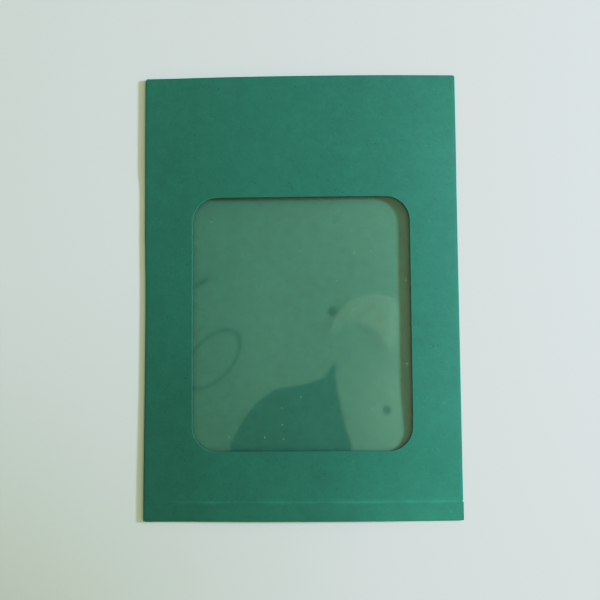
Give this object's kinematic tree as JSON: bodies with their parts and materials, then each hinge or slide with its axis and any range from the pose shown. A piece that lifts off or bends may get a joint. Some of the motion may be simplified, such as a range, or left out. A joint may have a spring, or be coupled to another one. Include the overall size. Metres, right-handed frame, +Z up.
{
  "type": "window envelope",
  "caption": "Flat card envelope with a large round-cornered window in its front, clear film glued behind the window, and its closure flap folded down behind.",
  "frame": {"origin": "middle of the envelope's outline, on the surface that its back lies on", "axes": "+X across the front to the right, +Y along the long side towards the mouth and the closure fold, +Z up out of the front panel"},
  "size_m": [0.162, 0.229, 0.0047],
  "materials": {
    "dyed_card": "matt, green dyed through, fine fibres",
    "clear_film": "clear, glossy plastic film"
  },
  "bodies": {
    "root": {"envelope_card": "dyed_card", "window_film": "clear_film"}
  },
  "joints": []
}
